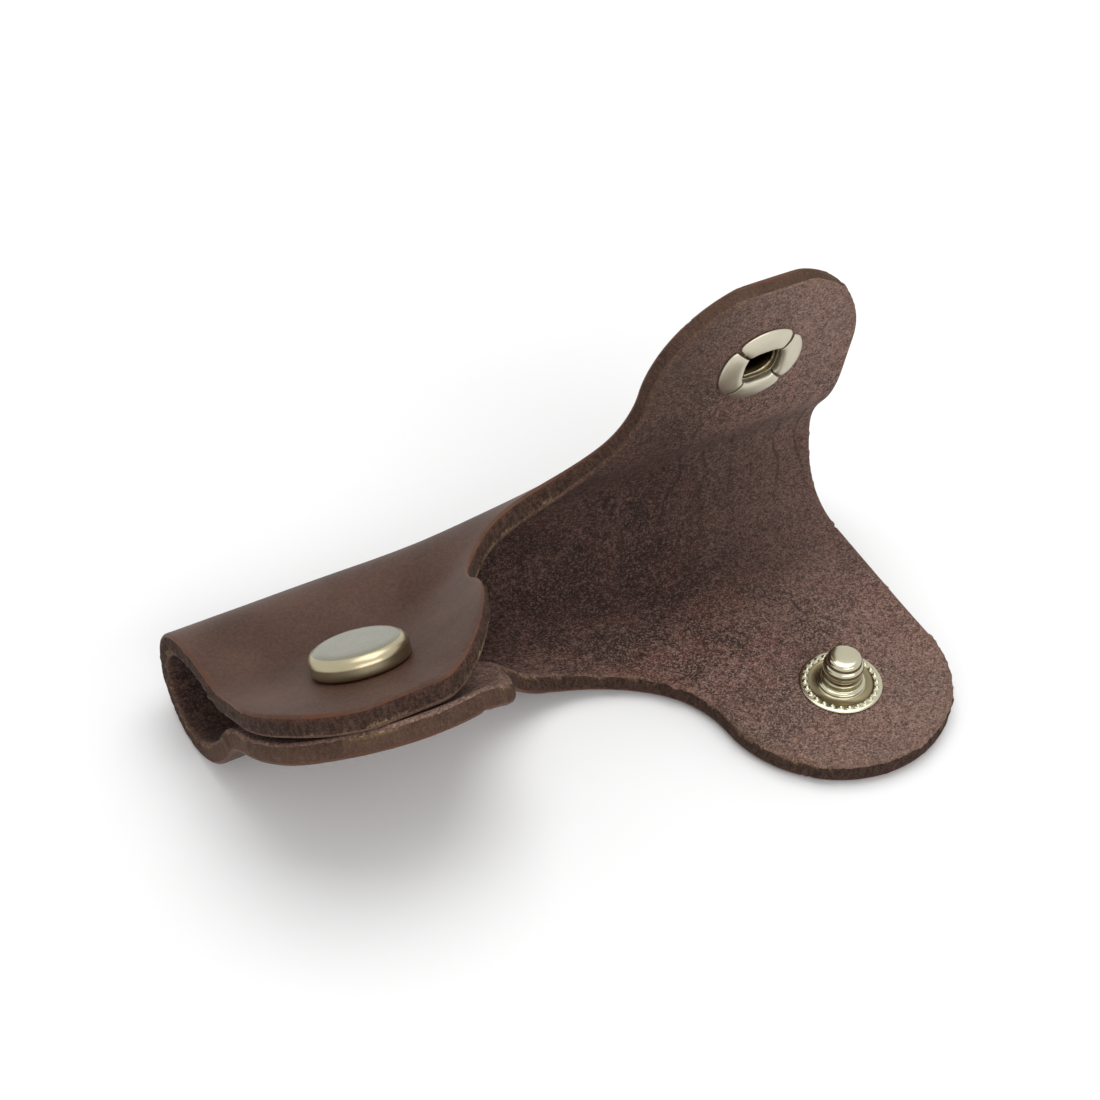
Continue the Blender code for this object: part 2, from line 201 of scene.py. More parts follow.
# Heading of the hide across the fold, 0 going back and a right angle going up
def heading_closed(v, spread):
    turn = 2 * ease(v / LOOP_SPAN + 0.5) - 1
    pinch = ease((abs(v) - LOOP_SPAN / 2) / (PINCH_TO - LOOP_SPAN / 2))
    return CLOSED_LEAN + math.pi / 2 + (math.pi / 2 + spread) * turn - np.copysign(spread * pinch, v)


def heading_open(v):
    rise = RISE_TURN * ease((v - RISE_MID) / RISE_SPAN + 0.5)
    lean = LEAN_TURN * ease((v - LEAN_FROM) / (LEAN_TO - LEAN_FROM))
    curl = CURL_TURN * ease((v - CURL_FROM) / (PINCH_TO - CURL_FROM))
    return rise + lean - curl


# The loop's spread is what brings its two faces to the snap's gap
def loop_spread():
    steps, halvings = 400, 50
    v = SNAP_V * (np.arange(steps) + 0.5) / steps
    least, most = 0.0, 60 * DEG
    for _ in range(halvings):
        spread = (least + most) / 2
        half = np.sin(heading_closed(v, spread) - CLOSED_LEAN).sum() * SNAP_V / steps
        if half > (SNAP_GAP + LEATHER) / 2:
            least = spread
        else:
            most = spread
    return spread


# Middle lines of the sections from closed to open, each summed outwards from the anchor
STEP = 0.25 * MM
REACH = 232
MIXES = 48
line_v = ANCHOR_V + STEP * np.arange(-REACH, REACH + 1)
half_v = (line_v[1:] + line_v[:-1]) / 2
share = np.linspace(0, 1, MIXES + 1)[:, None]
spread = loop_spread()
turned_half = (1 - share) * heading_closed(half_v, spread) + share * heading_open(half_v)
turned_full = (1 - share) * heading_closed(line_v, spread) + share * heading_open(line_v)


# Sums of steps along each line, counted from the anchor
def summed(steps):
    total = np.concatenate([np.zeros((MIXES + 1, 1)), np.cumsum(steps, axis=1)], axis=1)
    return total - total[:, REACH : REACH + 1]


line_y = summed(STEP * np.cos(turned_half))
line_z = summed(STEP * np.sin(turned_half))


# A value of a table of sections, between its rows and columns
def on_table(table, mix, v):
    short = 1e-6
    a = np.clip(mix * MIXES, 0, MIXES - short)
    b = np.clip((v - line_v[0]) / STEP, 0, 2 * REACH - short)
    i, j = a.astype(int), b.astype(int)
    f, g = a - i, b - j
    low = table[i, j] * (1 - g) + table[i, j + 1] * g
    high = table[i + 1, j] * (1 - g) + table[i + 1, j + 1] * g
    return low * (1 - f) + high * f


# How low the closed loop and the open lobe's eyelet reach, so that both rest on the table
closed_low = (line_z[0] - np.cos(turned_full[0]) * LEATHER / 2).min()
open_low = np.interp(-SNAP_V, line_v, line_z[-1]) - LEATHER / 2 - EYELET_DROP


# Share of the open section at a place on the hide
def opened(u, v):
    held = HOLD * ease((-v - HOLD_FROM) / (HOLD_TO - HOLD_FROM)) * (1 - ease((u + HOLD_U) / HOLD_U))
    return ease((u - held - TWIST_FROM) / (TWIST_TO - TWIST_FROM))


# Where a place on the hide lies once it has been drawn askew
def skewed(u, v):
    fade = ease((-v - SKEW_FROM) / (SKEW_TO - SKEW_FROM)) * (1 - ease((u - SKEW_U) / SKEW_FADE))
    drawn = DRAWN * ease((u - DRAWN_U) / DRAWN_FADE) * ease((v - DRAWN_V) / DRAWN_FADE)
    return u - drawn, v - SKEW * fade * (u + SNAP_U)


# A point of the hide, w above its middle towards the inside of the fold, in the row frame
def bend(u, v, w):
    u, v, w = (np.asarray(x, float) for x in (u, v, w))
    u, v = skewed(u, v)
    mix = opened(u, v)
    angle = on_table(turned_full, mix, v)
    y = on_table(line_y, mix, v) - np.sin(angle) * w + (1 - mix) * CLOSED_Y + mix * OPEN_Y
    z = on_table(line_z, mix, v) + np.cos(angle) * w - (1 - mix) * closed_low - mix * open_low
    return np.stack([u, y + shift_y, z], axis=-1)


# The frame says where the right hinge lies on the spine, which places the hide
shift_y = 0.0
right_hinge = next(j for j in frame["joints"] if j["name"] == "right_flap_fold")["pos_m"]
shift_y = right_hinge[1] - bend(right_hinge[0], 0, 0)[1]


# How far the lobes' ends bend in at the closed end
def lip(u, v):
    most = np.where(np.asarray(v) > 0, TAB_LIP, LOBE_LIP)
    return (1 - opened(u, v)) * most * ease((np.abs(v) - LIP_FROM) / (LIP_TO - LIP_FROM))


# How far the lower layer hangs at the closed end's mouth
def sag(u, v):
    across = np.clip((np.asarray(v) - SAG_MID) / SAG_HALF, -1, 1)
    outwards = ease((-np.asarray(u) - SAG_FROM) / (SAG_TO - SAG_FROM))
    return -SAG * np.cos(across * math.pi / 2) ** 2 * outwards


# One quarter of the outline, from the middle of the end edge to the middle of the waist
def quarter():
    neck_r = (LOBE_U**2 + (LOBE_V - WAIST_V) ** 2 - LOBE_R**2) / (2 * (LOBE_R + LOBE_V - WAIST_V))
    neck_v = WAIST_V + neck_r
    turn = math.atan2(neck_v - LOBE_V, -LOBE_U) % (2 * math.pi)
    path = []
    count = round(LOBE_V / CUT_STEP)
    for i in range(count):
        v = LOBE_V * i / count
        path.append((LOBE_U + LOBE_R + END_BOW * 0.5 * (1 + math.cos(math.pi * v / LOBE_V)), v))
    count = round(turn * LOBE_R / CUT_STEP)
    for i in range(count):
        a = turn * i / count
        path.append((LOBE_U + LOBE_R * math.cos(a), LOBE_V + LOBE_R * math.sin(a)))
    first = turn - math.pi
    sweep = -math.pi / 2 - first
    count = round(abs(sweep) * neck_r / CUT_STEP)
    for i in range(count + 1):
        a = first + sweep * i / count
        path.append((neck_r * math.cos(a), neck_v + neck_r * math.sin(a)))
    return path


# Four mirrored quarters
def outline():
    path = quarter()
    ring = list(path)
    ring += [(-u, v) for u, v in reversed(path[:-1])]
    ring += [(-u, -v) for u, v in path[1:]]
    ring += [(u, -v) for u, v in reversed(path[1:-1])]
    return ring


# Cut edge, and the way outwards from each of its points
CUT = np.array(outline())
cut_way = np.roll(CUT, -1, axis=0) - np.roll(CUT, 1, axis=0)
CUT_OUT = np.stack([cut_way[:, 1], -cut_way[:, 0]], axis=1) / np.linalg.norm(cut_way, axis=1)[:, None]


# Distance of points from the cut edge
def from_cut(points):
    a = CUT
    along = np.roll(CUT, -1, axis=0) - a
    length = (along**2).sum(1)
    best = np.full(len(points), 1.0)
    for start, way, long in zip(a, along, length):
        t = np.clip(((points - start) @ way) / long, 0, 1)
        best = np.minimum(best, np.linalg.norm(points - start - t[:, None] * way, axis=1))
    return best


# The part of a ring on one side of a line u = limit (axis 0) or v = limit (axis 1)
def clip(ring, axis, limit, below):
    kept = []
    sign = 1 if below else -1
    for here, there in zip(ring, ring[1:] + ring[:1]):
        a = sign * (limit - here[axis])
        b = sign * (limit - there[axis])
        if a >= 0:
            kept.append(here)
        if a * b < 0:
            f = a / (a - b)
            point = [here[k] + f * (there[k] - here[k]) for k in (0, 1)]
            point[axis] = limit
            kept.append(tuple(point))
    return kept


# Seams between the pieces, by axis and place, and where they meet
SEAMS = ((0, FLAP_U), (0, MIDDLE_U), (0, OPEN_U), (1, FOLD_V))
JUNCTIONS = ((FLAP_U, FOLD_V), (MIDDLE_U, FOLD_V))
CLOSE = 1e-9
ON_CUT = 1e-6


# The axis of the seam that two points lie on, if any
def seam_of(a, b):
    for axis, limit in SEAMS:
        if abs(a[axis] - limit) < CLOSE and abs(b[axis] - limit) < CLOSE:
            return axis
    return None


# Points along a seam, closer together where it meets the cut edge
def along_seam(a, b):
    a, b = np.array(a), np.array(b)
    ends = from_cut(np.stack([a, b])) < ON_CUT
    long = np.linalg.norm(b - a)
    stops = [0.0]
    if ends[0]:
        stops += EDGE_ROWS
    tail = [long - row for row in reversed(EDGE_ROWS)] if ends[1] else []
    reach = (tail[0] if tail else long) - stops[-1]
    count = max(1, math.ceil(reach / GRID))
    first = stops[-1]
    stops += [first + reach * i / count for i in range(1, count)] + tail
    return [tuple(a + (b - a) * s / long) for s in stops]


# A ring with its seams cut into steps, and with a point where two seams meet
def refined(ring):
    path = []
    for a, b in zip(ring, ring[1:] + ring[:1]):
        axis = seam_of(a, b)
        if axis is None:
            path.append(a)
            continue
        low, high = sorted((a[1 - axis], b[1 - axis]))
        on_line = [j for j in JUNCTIONS if j[axis] == a[axis]]
        stops = [j for j in on_line if low + CLOSE < j[1 - axis] < high - CLOSE]
        stops.sort(key=lambda j: abs(j[1 - axis] - a[1 - axis]))
        corners = [a] + stops + [b]
        for c, d in zip(corners, corners[1:]):
            # the two pieces that share a seam walk it in the same direction
            if c[1 - axis] < d[1 - axis]:
                path += along_seam(c, d)
            else:
                back = along_seam(d, c)
                path += [c] + list(reversed(back[1:]))
    return path


# Which points lie in a ring
def inside(points, ring):
    found = np.zeros(len(points), bool)
    for (u1, v1), (u2, v2) in zip(ring, ring[1:] + ring[:1]):
        if v1 != v2:
            crosses = (v1 > points[:, 1]) != (v2 > points[:, 1])
            at = (u2 - u1) * (points[:, 1] - v1) / (v2 - v1) + u1
            found ^= crosses & (points[:, 0] < at)
    return found


# Which points lie far enough from every seam
def clear_of_seams(points, room):
    free = np.ones(len(points), bool)
    for axis, limit in SEAMS:
        free &= abs(points[:, axis] - limit) > room
    return free


# Holes for the snaps: socket tubes in the flaps, eyelets in the base
HOLES = [
    (way * SNAP_U, row * SNAP_V, radius)
    for way in (-1, 1)
    for row, radius in ((-1, BASE_HOLE_R), (1, FLAP_HOLE_R))
]


# How far the middle of the hide lies off the plain bend: slight waves, the lobes' ends and the sag
def wave(u, v):
    rolls = [noise.noise(Vector((a / WAVE_SIZE, b / WAVE_SIZE, WAVE_CUT))) for a, b in zip(u, v)]
    return WAVE * np.array(rolls) + lip(u, v) + sag(u, v)


# How far the cut edge stands out: fine roughness and a few tufts, more towards the flesh side
def ragged(u, v, w):
    rough = RAGGED * noise.noise(Vector((u, v, w)) / RAGGED_SIZE)
    tuft = TUFT * max(0.0, noise.noise(Vector((u, w, v)) / TUFT_SIZE) - TUFT_FROM)
    return (rough + tuft) * (RAGGED_SHARE + FLESH_SHARE * w / LEATHER)


# Outward normals of the two faces, so that pieces of the hide meet without a line
def face_normals(flat, half):
    reach = 0.05 * MM
    sides = []
    for side in (1, -1):
        def at(u, v):
            return bend(u, v, side * half + wave(u, v))

        u, v = flat[:, 0], flat[:, 1]
        normal = np.cross(at(u + reach, v) - at(u - reach, v), at(u, v + reach) - at(u, v - reach))
        sides.append(side * normal / np.linalg.norm(normal, axis=1)[:, None])
    return sides


# One piece of the hide: both faces, a ragged wall along the cut edge, plain walls at seams and holes;
# each point keeps its place on the flat blank and its distance from the cut edge, for the materials
def hide_piece(name, clips):
    ring = outline()
    for axis, limit, below in clips:
        ring = clip(ring, axis, limit, below)
    ring = refined(ring)
    count = len(ring)
    border = np.array(ring)
    step = np.roll(border, -1, axis=0) - np.roll(border, 1, axis=0)
    out = np.stack([step[:, 1], -step[:, 0]], axis=1)
    out /= np.linalg.norm(out, axis=1)[:, None]
    on_cut = from_cut(border) < ON_CUT
    for i in np.flatnonzero(on_cut):
        out[i] = CUT_OUT[np.linalg.norm(CUT - border[i], axis=1).argmin()]

    points = [border]
    free = on_cut & clear_of_seams(border, EDGE_ROOM)
    for row in EDGE_ROWS:
        points.append(border[free] - out[free] * row)
    low, high = border.min(0), border.max(0)
    rows = np.arange(low[1], high[1], GRID * math.sqrt(3) / 2)
    along = np.arange(low[0], high[0], GRID)
    grid = np.concatenate(
        [np.stack([along + GRID / 2 * (k % 2), np.full(len(along), v)], 1) for k, v in enumerate(rows)]
    )
    grid = grid[inside(grid, ring) & clear_of_seams(grid, SEAM_ROOM)]
    grid = grid[from_cut(grid) > EDGE_ROWS[-1] + SEAM_ROOM]
    loops = [[(i, (i + 1) % count) for i in range(count)]]
    total = sum(len(p) for p in points)
    for u, v, radius in HOLES:
        if inside(np.array([[u, v]]), ring)[0]:
            away = np.linalg.norm(grid - (u, v), axis=1)
            grid = grid[away > radius + HOLE_ROOM]
            turns = np.arange(HOLE_SPOKES) * 2 * math.pi / HOLE_SPOKES
            points.append(np.stack([u + radius * np.cos(turns), v + radius * np.sin(turns)], 1))
            loops.append([(total + i, total + (i + 1) % HOLE_SPOKES) for i in range(HOLE_SPOKES)])
            total += HOLE_SPOKES
    points.append(grid)
    flat = np.concatenate(points)
    edges = [edge for loop in loops for edge in loop]
    found = delaunay_2d_cdt([Vector(p) for p in flat], edges, [], 1, CLOSE)
    triangles = np.array(found[2])
    flat = np.array([(p.x, p.y) for p in found[0]])
    middle = flat[triangles].mean(1)
    for u, v, radius in HOLES:
        triangles = triangles[np.linalg.norm(middle - (u, v), axis=1) > radius * HOLE_INSIDE]
        middle = flat[triangles].mean(1)

    depth = from_cut(flat)
    x = np.clip(depth / EDGE_ROUND, 0, 1)
    half = LEATHER / 2 - EDGE_ROUND * (1 - np.sqrt(1 - (1 - x) ** 2))
    thin = ease(flat[:, 0] / SWELL_U) * ease(flat[:, 1] / SWELL_V)
    top = half + SWELL * (1 - thin) * (1 - ease(depth / SWELL_REACH))
    lift = wave(flat[:, 0], flat[:, 1])
    size = len(flat)
    bm = bmesh.new()
    place = bm.verts.layers.float_vector.new("hide")
    rim = bm.verts.layers.float.new("rim")
    upper, lower = [], []
    xyz_up = bend(flat[:, 0], flat[:, 1], top + lift)
    xyz_low = bend(flat[:, 0], flat[:, 1], lift - half)

    for i in range(size):
        u, v = flat[i]
        for side, xyz, store in ((1, xyz_up, upper), (-1, xyz_low, lower)):
            w = top[i] if side > 0 else -half[i]
            at = xyz[i]
            if i < count and on_cut[i]:
                push = ragged(u, v, w)
                at = bend(u + out[i, 0] * push, v + out[i, 1] * push, w + lift[i])
            vert = bm.verts.new(at)
            vert[place] = (u / MM, v / MM, w / MM)
            vert[rim] = depth[i] / MM
            store.append(vert)
    faces = {0: [], 1: [], 2: []}
    for a, b, c in triangles:
        faces[1].append(bm.faces.new((upper[a], upper[b], upper[c])))
        faces[0].append(bm.faces.new((lower[c], lower[b], lower[a])))

    # walls between the two faces, row by row where the edge was cut
    def column(i):
        made = [lower[i]]
        u, v = flat[i]
        for k in range(1, WALL_ROWS):
            s = 2 * k / WALL_ROWS - 1
            w = s * half[i] if s < 0 else s * top[i]
            push = WALL_BULGE * (1 - s * s) + ragged(u, v, w) if on_cut[i] else 0.0
            vert = bm.verts.new(bend(u + out[i, 0] * push, v + out[i, 1] * push, w + lift[i]))
            vert[place] = (u / MM, v / MM, w / MM)
            vert[rim] = 0.0
            made.append(vert)
        return made + [upper[i]]

    columns = [column(i) for i in range(count)]
    for i, j in loops[0]:
        a, b = columns[i], columns[j]
        for k in range(WALL_ROWS):
            faces[2].append(bm.faces.new((a[k], b[k], b[k + 1], a[k + 1])))
    for loop in loops[1:]:
        for i, j in loop:
            faces[2].append(bm.faces.new((lower[j], lower[i], upper[i], upper[j])))
    for slot, some in faces.items():
        for face in some:
            face.material_index = slot
            face.smooth = True
    bmesh.ops.recalc_face_normals(bm, faces=bm.faces)
    at_seam = np.zeros(size, bool)
    for i, j in loops[0]:
        if seam_of(ring[i], ring[j]) is not None:
            at_seam[[i, j]] = True
            for ends in ((upper[i], upper[j]), (lower[i], lower[j])):
                bm.edges.get(ends).smooth = False
    for i in range(count):
        if at_seam[i] and on_cut[i]:
            for ends in zip(columns[i], columns[i][1:]):
                bm.edges.get(ends).smooth = False
    mesh = bpy.data.meshes.new(name)
    bm.to_mesh(mesh)
    bm.free()
    sides = face_normals(flat, LEATHER / 2)
    at_seam &= depth > EDGE_ROUND
    normals = np.zeros((len(mesh.loops), 3))
    for face in mesh.polygons:
        if face.material_index < 2:
            for k in face.loop_indices:
                vert = mesh.loops[k].vertex_index
                if at_seam[vert // 2]:
                    normals[k] = sides[vert % 2][vert // 2]
    mesh.normals_split_custom_set(normals.tolist())
    obj = bpy.data.objects.new(name, mesh)
    bpy.context.scene.collection.objects.link(obj)
    for mat in (grain_side, flesh_side, cut_edge):
        mesh.materials.append(mat)
    return obj


# sRGB hex to linear colour
def colour(text):
    parts = [int(text[i : i + 2], 16) / 255 for i in (1, 3, 5)]
    return (*[c / 12.92 if c <= 0.04045 else ((c + 0.055) / 1.055) ** 2.4 for c in parts], 1.0)


# Inputs of a node or a shader, each set or linked
def fill(tree, made, inputs):
    for name, value in inputs.items():
        if isinstance(value, bpy.types.NodeSocket):
            tree.links.new(value, made.inputs[name])
        else:
            made.inputs[name].default_value = value


# One node with its settings and inputs; it gives one of its outputs
def node(tree, kind, inputs, give=0, **settings):
    made = tree.nodes.new("ShaderNode" + kind)
    for name, value in settings.items():
        setattr(made, name, value)
    fill(tree, made, inputs)
    return made.outputs[give]


# A new material, with the means to add a node to it and to finish its shader
def new_material(name):
    mat = bpy.data.materials.new(name)
    mat.use_nodes = True
    tree = mat.node_tree
    return mat, partial(node, tree), partial(fill, tree, tree.nodes["Principled BSDF"])


# The hide's materials go by the place on the flat blank, in millimetres: u, v and the height in the hide

# Oiled cowhide, grain side: plated smooth and waxed, so an even dull sheen, faint clouds and fine pores
def make_grain_side():
    mat, add, finish = new_material("oiled_cowhide_grain_side")
    place = add("Attribute", {}, "Vector", attribute_name="hide")
    rim = add("Attribute", {}, "Fac", attribute_name="rim")
    clouds = add("TexNoise", {"Vector": place, "Scale": 1 / 10.0, "Detail": 3.0})
    speckle = add("TexNoise", {"Vector": place, "Scale": 1 / 0.35, "Detail": 2.0})
    pores = add("TexVoronoi", {"Vector": place, "Scale": 1 / 0.45})
    tone = add("Math", {0: clouds, 1: speckle}, operation="ADD")
    tone = add("MapRange", {"Value": tone, "From Min": 0.7, "From Max": 1.3})
    # wax bloom and painted sheen: a grey cast in a band inside the cut edge
    bloom_and_sheen = add("MapRange", {"Value": rim, "From Min": 7.0, "From Max": 1.5, "To Max": 0.15})
    bloom_and_sheen = add("Math", {0: bloom_and_sheen, 1: clouds}, operation="MULTIPLY")
    # wear: rust-brown where the cut has rubbed the finish off, in patches
    patch = add("TexNoise", {"Vector": place, "Scale": 1 / 2.4, "Detail": 3.0})
    patch = add(
        "MapRange", {"Value": patch, "From Min": 0.38, "From Max": 0.62, "To Min": 0.15, "To Max": 0.85}
    )
    worn = add("MapRange", {"Value": rim, "From Min": 0.85, "From Max": 0.25})
    worn = add("Math", {0: worn, 1: patch}, operation="MULTIPLY")
    hide = colour("#3d281f")
    for mask, coat in ((tone, "#573d31"), (bloom_and_sheen, "#665548"), (worn, "#5c3b2b")):
        hide = add("Mix", {0: mask, 6: hide, 7: colour(coat)}, 2, data_type="RGBA")
    gloss = add("MapRange", {"Value": clouds, "To Min": 0.58, "To Max": 0.46})
    bump = add("Bump", {"Strength": 0.2, "Distance": 0.05 * MM, "Height": pores})
    finish({"Base Color": hide, "Roughness": gloss, "Normal": bump, "Specular IOR Level": 0.2})
    return mat


# Oiled cowhide, flesh side: split and buffed, so matt, with short pale fibres over dark, and creases darkened
# with painted shade
def make_flesh_side():
    mat, add, finish = new_material("oiled_cowhide_flesh_side")
    place = add("Attribute", {}, "Vector", attribute_name="hide")
    rim = add("Attribute", {}, "Fac", attribute_name="rim")
    u, v, _ = add("SeparateXYZ", {0: place}).node.outputs
    away = add("Math", {0: v}, operation="ABSOLUTE")
    clouds = add("TexNoise", {"Vector": place, "Scale": 1 / 8.0, "Detail": 4.0})
    nap = add("TexNoise", {"Vector": place, "Scale": 1 / 1.1, "Detail": 5.0, "Roughness": 0.7})
    tone = add("MapRange", {"Value": nap, "From Min": 0.38, "From Max": 0.62})
    red = add("MapRange", {"Value": clouds, "From Min": 0.46, "From Max": 0.64, "To Max": 0.6})
    # towards the fold the flesh side is darker: painted shade of the fold
    nearer = {"Value": away, "From Min": 25.0, "From Max": 6.0}
    nearer = add("MapRange", nearer, interpolation_type="SMOOTHSTEP")
    fold_shade = add("Math", {0: nearer, 1: 0.6}, operation="MULTIPLY")
    # oil has soaked in as dark patches some millimetres across
    stain = add("TexNoise", {"Vector": place, "Scale": 1 / 6.0, "Detail": 5.0})
    stain = add("MapRange", {"Value": stain, "From Min": 0.48, "From Max": 0.6, "To Max": 0.7})
    # painted light: paler towards the open end and on the outer lobes, away from the fold's shade
    open_end_light = add("MapRange", {"Value": u, "From Min": 22.0, "From Max": 42.0, "To Max": 0.3})
    outer_lobe_light = add("MapRange", {"Value": away, "From Min": 24.0, "From Max": 46.0, "To Max": 0.5})
    # the ends of short fibres: single ones are finer than the render shows, so specks stand for tufts
    small = add("TexVoronoi", {"Vector": place, "Scale": 1 / 0.18}, "Color")
    large = add("TexVoronoi", {"Vector": place, "Scale": 1 / 0.36}, "Color")
    specks = add("Mix", {0: 0.25, 6: small, 7: large}, 2, data_type="RGBA")
    fibre = add("SeparateXYZ", {0: specks})
    fleck = add("MapRange", {"Value": fibre, "From Min": 0.5, "From Max": 0.95, "To Max": 0.72})
    fewer = add("MapRange", {"Value": nearer, "To Min": 1.0, "To Max": 0.4})
    fleck = add("Math", {0: fleck, 1: fewer}, operation="MULTIPLY")
    pit = add("MapRange", {"Value": fibre, "From Min": 0.45, "From Max": 0.1, "To Max": 0.66})
    # creases run up the bend of the open flap, a few millimetres apart, and fade in and out; their dark
    # colour is painted shade, the bump gives their dip
    drift = add("TexNoise", {"Vector": place, "Scale": 1 / 14.0, "Detail": 1.0})
    crease = add("Math", {0: drift, 1: 10.0, 2: u}, operation="MULTIPLY_ADD")
    crease = add("Math", {0: crease, 1: 2.1}, operation="PINGPONG")
    crease = add("MapRange", {"Value": crease, "From Min": 0.38, "From Max": 0.04, "To Max": 0.45})
    for measure, first, last in ((v, -6.0, 3.0), (v, 27.0, 19.0), (u, 9.0, 18.0), (clouds, 0.38, 0.5)):
        within = add("MapRange", {"Value": measure, "From Min": first, "From Max": last})
        crease = add("Math", {0: crease, 1: within}, operation="MULTIPLY")
    # painted shade: the flap is darkest on its side towards the waist
    shade = add("MapRange", {"Value": u, "From Min": 36.0, "From Max": 18.0})
    upper = add("MapRange", {"Value": v, "From Min": 4.0, "From Max": 22.0, "To Max": 0.6})
    shade = add("Math", {0: shade, 1: upper}, operation="MULTIPLY")
    worn = add("MapRange", {"Value": rim, "From Min": 1.0, "From Max": 0.2, "To Max": 0.6})
    worn = add("Math", {0: worn, 1: nap}, operation="MULTIPLY")
    # of these coats, the darker fold, the paler open end and outer lobes, the crease lines and the flap's
    # shaded side are painted light and shade
    coats = (
        (tone, "#7d5b50"),
        (red, "#5c382f"),
        (fold_shade, "#2b1d1b"),
        (stain, "#2c1e1b"),
        (open_end_light, "#8f746a"),
        (outer_lobe_light, "#876f64"),
        (fleck, "#a88d80"),
        (pit, "#241714"),
        (crease, "#1f1512"),
        (shade, "#32221c"),
        (worn, "#6a5040"),
    )
    hide = colour("#2b1b17")
    for mask, coat in coats:
        hide = add("Mix", {0: mask, 6: hide, 7: colour(coat)}, 2, data_type="RGBA")
    height = add("Math", {0: nap, 1: fibre}, operation="ADD")
    height = add("Math", {0: height, 1: crease}, operation="SUBTRACT")
    bump = add("Bump", {"Strength": 0.6, "Distance": 0.12 * MM, "Height": height})
    finish({"Base Color": hide, "Normal": bump, "Roughness": 0.88, "Specular IOR Level": 0.25})
    return mat


# Oiled cowhide, die-cut edge: raw, so upright bundles of fibre, rust-brown under the grain, pale at the flesh
def make_cut_edge():
    mat, add, finish = new_material("oiled_cowhide_cut_edge")
    place = add("Attribute", {}, "Vector", attribute_name="hide")
    u, v, deep = add("SeparateXYZ", {0: place}).node.outputs
    upright = add("Mapping", {"Vector": place, "Scale": (1.0, 1.0, 0.5)})
    bundle = add("TexNoise", {"Vector": upright, "Scale": 1 / 0.5, "Detail": 4.0})
    patch = add("TexNoise", {"Vector": place, "Scale": 1 / 3.5, "Detail": 3.0})
    fibre = add("TexNoise", {"Vector": place, "Scale": 1 / 0.28, "Detail": 2.0})
    tone = add("Math", {0: bundle, 1: fibre}, operation="ADD")
    tone = add("MapRange", {"Value": tone, "From Min": 0.78, "From Max": 1.22})
    # the closed end's lower layer and the open flap are handled most, and their edges are rubbed paler
    handled = add("Math", {0: u, 1: v}, operation="MULTIPLY")
    handled = add("MapRange", {"Value": handled, "From Min": 100.0, "From Max": 900.0, "To Max": 0.65})
    handled = add("Math", {0: handled, 1: patch}, operation="MULTIPLY")
    rust = add("MapRange", {"Value": deep, "From Min": -0.35, "From Max": -1.1, "To Max": 0.8})
    rust = add("Math", {0: rust, 1: patch}, operation="MULTIPLY")
    pale = add("MapRange", {"Value": deep, "From Min": 0.7, "From Max": 1.4})
    tuft = add("MapRange", {"Value": patch, "From Min": 0.5, "From Max": 0.62, "To Max": 0.9})
    for part in (tuft, tone):
        pale = add("Math", {0: pale, 1: part}, operation="MULTIPLY")
    hide = colour("#2f201a")
    for mask, coat in ((tone, "#503b31"), (handled, "#7a5e4d"), (rust, "#6c3f2c"), (pale, "#a98f66")):
        hide = add("Mix", {0: mask, 6: hide, 7: colour(coat)}, 2, data_type="RGBA")
    bump = add("Bump", {"Strength": 0.8, "Distance": 0.3 * MM, "Height": tone})
    finish({"Base Color": hide, "Normal": bump, "Roughness": 0.92, "Specular IOR Level": 0.2})
    return mat


# Metal of the snaps: slight clouds of tarnish dull its colour and its shine
def make_metal(name, tint, rough, grit):
    mat, add, finish = new_material(name)
    place = add("TexCoord", {}, "Object")
    tarnish = add("TexNoise", {"Vector": place, "Scale": 1 / TARNISH_SIZE, "Detail": 3.0})
    fine = add("TexNoise", {"Vector": place, "Scale": 1 / (grit * MM), "Detail": 2.0})
    bright = colour(tint)
    dull = (*[c * TARNISH_SHADE for c in bright[:3]], 1.0)
    metal = add("Mix", {0: tarnish, 6: bright, 7: dull}, 2, data_type="RGBA")
    gloss = add("MapRange", {"Value": tarnish, "To Min": rough * 0.8, "To Max": rough * 1.2})
    bump = add("Bump", {"Strength": 0.04, "Distance": 0.01 * MM, "Height": fine})
    finish({"Base Color": metal, "Roughness": gloss, "Normal": bump, "Metallic": 1.0})
    return mat


TARNISH_SIZE = 2.2 * MM
TARNISH_SHADE = 0.86
grain_side = make_grain_side()
flesh_side = make_flesh_side()
cut_edge = make_cut_edge()
# Tops of the caps, and eyelets: tumbled, so a soft grey sheen
satin_nickel = make_metal("satin_tumbled_nickel_plate", "#918f80", 0.27, 0.25)
# Edges of the caps: a paler, warmer tint, a painted highlight for the golden shine along the edge
cap_edge_highlight_nickel = make_metal("rubbed_nickel_plate", "#b5aa8c", 0.3, 0.25)
# Studs: bright plate, so clear warm highlights
bright_nickel = make_metal("bright_nickel_plate", "#c2bda4", 0.17, 0.4)
# Petals: polished in a barrel, so pale with a broad highlight
polished_nickel = make_metal("barrel_polished_nickel_plate", "#cdc6b2", 0.42, 0.3)
# Hollows of the studs, which nothing rubs: tarnish and painted shade, darker and more yellow
tarnish_and_shade_nickel = make_metal("tarnished_nickel_plate", "#857a5f", 0.3, 0.3)
# Cap plates, and insides of the sockets and caps: dark dull brass, painted shade of the deep socket hole
bore_shade_brass = make_metal("unplated_brass", "#4a3c20", 0.35, 0.3)
# Springs: drawn wire, so a clean grey shine
spring_wire = make_metal("drawn_spring_wire", "#a59d88", 0.25, 0.3)

